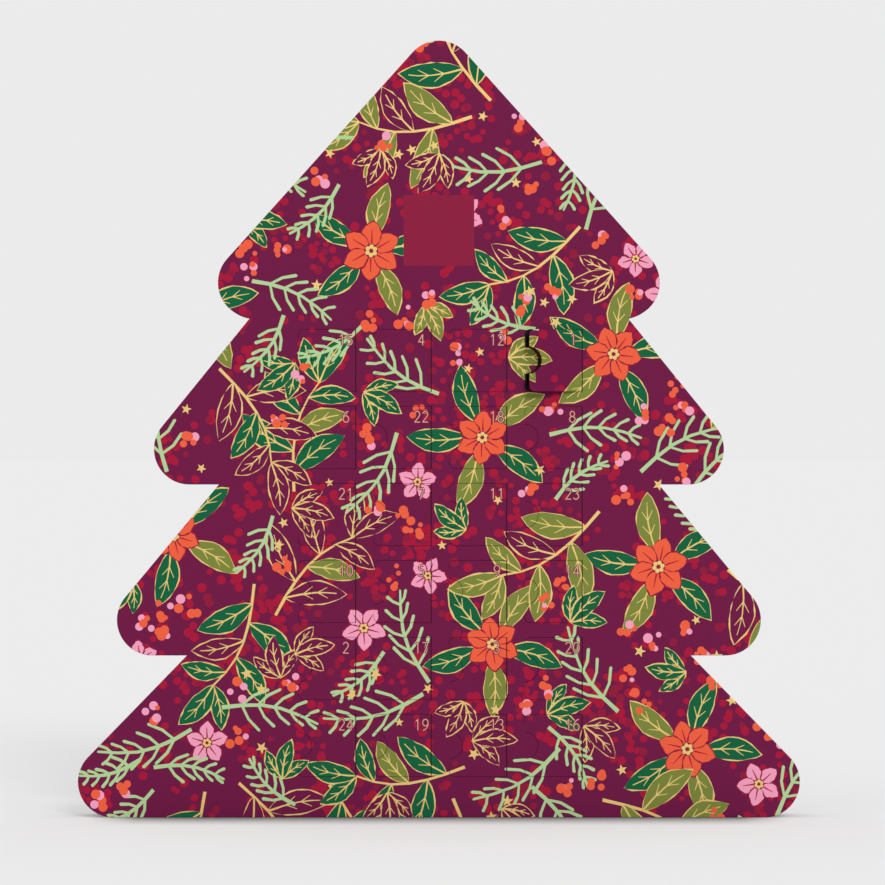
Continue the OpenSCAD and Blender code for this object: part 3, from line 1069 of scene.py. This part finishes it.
def scuffed_board(name):
    """Satin plum boxboard with loose berries, slow unevenness in its ink and rubbed folds."""
    material, tree, output = start_material(name)
    rough, normal = card_surface(tree, *SATIN)
    where = add_node(tree, "ShaderNodeTexCoord").outputs["Object"]
    clouds = add_node(tree, "ShaderNodeTexNoise", {"Vector": where, "Scale": 1 / FORMATION_SIZE,
                      "Detail": 4.0})
    ink = add_node(tree, "ShaderNodeMix", {FACTOR: clouds.outputs["Fac"], COLOUR_A: linear("#64083b"),
                   COLOUR_B: linear("#751047")}, data_type="RGBA")
    balls = add_node(tree, "ShaderNodeTexVoronoi", {"Vector": where, "Scale": 1 / BALL_STEP})
    berry = add_node(tree, "ShaderNodeMapRange", {"Value": balls.outputs["Distance"],
                     "From Min": BALL_R / BALL_STEP, "From Max": BALL_EDGE * BALL_R / BALL_STEP,
                     "To Min": 1.0, "To Max": 0.0})
    print_tone = add_node(tree, "ShaderNodeMix", {FACTOR: berry.outputs[0], COLOUR_A: ink.outputs[MIXED],
                          COLOUR_B: linear(CRIMSON)}, data_type="RGBA")
    depth = add_node(tree, "ShaderNodeSeparateXYZ", {"Vector": where}).outputs["Y"]
    distance = add_node(tree, "ShaderNodeMath", {0: depth}, operation="ABSOLUTE")
    at_fold = add_node(tree, "ShaderNodeMapRange", {"Value": distance.outputs[0],
                       "From Min": WALL_EDGE - SCUFF_REACH, "From Max": WALL_EDGE})
    patches = add_node(tree, "ShaderNodeTexNoise", {"Vector": where, "Scale": 1 / SCUFF_SIZE,
                       "Detail": 5.0})
    bare = add_node(tree, "ShaderNodeMapRange", {"Value": patches.outputs["Fac"], "From Min": SCUFF_START,
                    "From Max": SCUFF_FULL, "To Max": MOST_RUBBED})
    rubbed = add_node(tree, "ShaderNodeMath", {0: at_fold.outputs[0], 1: bare.outputs[0]},
                      operation="MULTIPLY")
    colour = add_node(tree, "ShaderNodeMix", {FACTOR: rubbed.outputs[0],
                      COLOUR_A: print_tone.outputs[MIXED], COLOUR_B: linear("#a06a80")}, data_type="RGBA")
    shader = add_node(tree, "ShaderNodeBsdfPrincipled", {"Base Color": colour.outputs[MIXED],
                      "Roughness": rough, "Normal": normal, **SATIN_SHEEN})
    tree.links.new(shader.outputs["BSDF"], output.inputs["Surface"])
    return material


def dress(node, material):
    """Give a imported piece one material."""
    slots = frame["nodes"][node].data.materials
    slots.clear()
    slots.append(material)


wall_board = scuffed_board("plum_boxboard")
WALLS = ("left_wall", "right_wall", "base_wall")
for node in WALLS:
    dress(node, wall_board)
print(len(WALLS), "walls are dressed")

# %% [markdown]
# ## The tray
#
# The tray is black polystyrene sheet, drawn over a mould while it was hot, so its edges are soft and its
# gloss ripples a little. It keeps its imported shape. A weld joins its faces, and a bevel rounds the edges
# that a mould can't make sharp.

# %% Black polystyrene
RIPPLE_SIZE, RIPPLE_DEPTH = 6 * MM, 0.5 * MM
TRAY_ROUGH = (0.28, 0.42)
TRAY_EDGE_R = 0.15 * MM
WELD_REACH = 0.001 * MM
SHARP_FROM = math.radians(40)


def soften(node, radius):
    """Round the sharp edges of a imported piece."""
    piece = frame["nodes"][node]
    weld = piece.modifiers.new("join the faces", "WELD")
    weld.merge_threshold = WELD_REACH
    bevel = piece.modifiers.new("round the edges", "BEVEL")
    bevel.width = radius
    bevel.segments = 2
    bevel.limit_method = "ANGLE"
    bevel.angle_limit = SHARP_FROM


def formed_polystyrene(name):
    """Thermoformed polystyrene sheet: smooth, black, with a low gloss."""
    material, tree, output = start_material(name)
    where = add_node(tree, "ShaderNodeTexCoord").outputs["Object"]
    ripple = add_node(tree, "ShaderNodeTexNoise", {"Vector": where, "Scale": 1 / RIPPLE_SIZE,
                      "Detail": 2.0})
    rough = add_node(tree, "ShaderNodeMapRange", {"Value": ripple.outputs["Fac"], "From Min": NOISE_LOW,
                     "From Max": NOISE_HIGH, "To Min": TRAY_ROUGH[0], "To Max": TRAY_ROUGH[1]})
    tint = add_node(tree, "ShaderNodeMix", {FACTOR: ripple.outputs["Fac"], COLOUR_A: linear("#060404"),
                    COLOUR_B: linear("#0e0a0a")}, data_type="RGBA")
    bump = add_node(tree, "ShaderNodeBump", {"Height": ripple.outputs["Fac"], "Strength": 0.1,
                    "Distance": RIPPLE_DEPTH})
    shader = add_node(tree, "ShaderNodeBsdfPrincipled", {"Base Color": tint.outputs[MIXED],
                      "Roughness": rough.outputs["Result"], "Normal": bump.outputs["Normal"], "IOR": 1.59,
                      "Specular IOR Level": 0.08})
    tree.links.new(shader.outputs["BSDF"], output.inputs["Surface"])
    return material


dress("tray", formed_polystyrene("black_polystyrene"))
soften("tray", TRAY_EDGE_R)
print("the tray is dressed")

# %% [markdown]
# ## The chocolates
#
# The chocolates come from polished moulds: silky, dark brown, with a faint bloom. The raised figures are
# a shade paler, partly from bloom and partly as a painted highlight that makes the relief read. How far
# forward a place lies tells the figures from the face, because all chocolates stand in line. They keep
# their imported shapes too, with softer edges than the tray.

# %% Dark chocolate
BLOOM_SIZE, BLOOM_DEPTH = 5 * MM, 0.4 * MM
CHOCOLATE_ROUGH = (0.26, 0.44)
CHOCOLATE_EDGE_R = 0.35 * MM
FIGURE_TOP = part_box("chocolate_01")[0].y
FIGURE_RELIEF = 0.8 * MM
PALE_FROM, PALE_FULL, PALEST_BLOOM_AND_HIGHLIGHT = 0.6, 0.2, 0.5   # two depths as shares of the relief, and the tone's share


def moulded_chocolate(name):
    """Dark chocolate from a polished mould: silky, faint bloom, a painted highlight on its figures."""
    material, tree, output = start_material(name)
    where = add_node(tree, "ShaderNodeTexCoord").outputs["Object"]
    bloom = add_node(tree, "ShaderNodeTexNoise", {"Vector": where, "Scale": 1 / BLOOM_SIZE, "Detail": 4.0})
    brown = add_node(tree, "ShaderNodeMix", {FACTOR: bloom.outputs["Fac"], COLOUR_A: linear("#3d1c0c"),
                     COLOUR_B: linear("#5f3118")}, data_type="RGBA")
    depth = add_node(tree, "ShaderNodeSeparateXYZ", {"Vector": where}).outputs["Y"]
    # The raised figures are painted paler: partly bloom, partly a painted highlight that makes the relief
    # read.
    raised = add_node(tree, "ShaderNodeMapRange", {"Value": depth,
                      "From Min": FIGURE_TOP + PALE_FROM * FIGURE_RELIEF,
                      "From Max": FIGURE_TOP + PALE_FULL * FIGURE_RELIEF, "To Max": PALEST_BLOOM_AND_HIGHLIGHT})
    tone = add_node(tree, "ShaderNodeMix", {FACTOR: raised.outputs["Result"],
                    COLOUR_A: brown.outputs[MIXED], COLOUR_B: linear("#6e4026")}, data_type="RGBA")
    rough = add_node(tree, "ShaderNodeMapRange", {"Value": bloom.outputs["Fac"], "From Min": NOISE_LOW,
                     "From Max": NOISE_HIGH, "To Min": CHOCOLATE_ROUGH[0], "To Max": CHOCOLATE_ROUGH[1]})
    bump = add_node(tree, "ShaderNodeBump", {"Height": bloom.outputs["Fac"], "Strength": 0.08,
                    "Distance": BLOOM_DEPTH})
    shader = add_node(tree, "ShaderNodeBsdfPrincipled", {"Base Color": tone.outputs[MIXED],
                      "Roughness": rough.outputs["Result"], "Normal": bump.outputs["Normal"], "IOR": 1.46,
                      "Specular IOR Level": 0.2})
    tree.links.new(shader.outputs["BSDF"], output.inputs["Surface"])
    return material


chocolate = moulded_chocolate("dark_chocolate")
for value in values:
    dress(f"chocolate_{value:02d}", chocolate)
    soften(f"chocolate_{value:02d}", CHOCOLATE_EDGE_R)
print(len(values), "chocolates are dressed")

# %% [markdown]
# ## The view transform
#
# The Standard view transform leaves the inks' colours alone.

# %% Set the view transform
bpy.context.scene.view_settings.view_transform = "Standard"
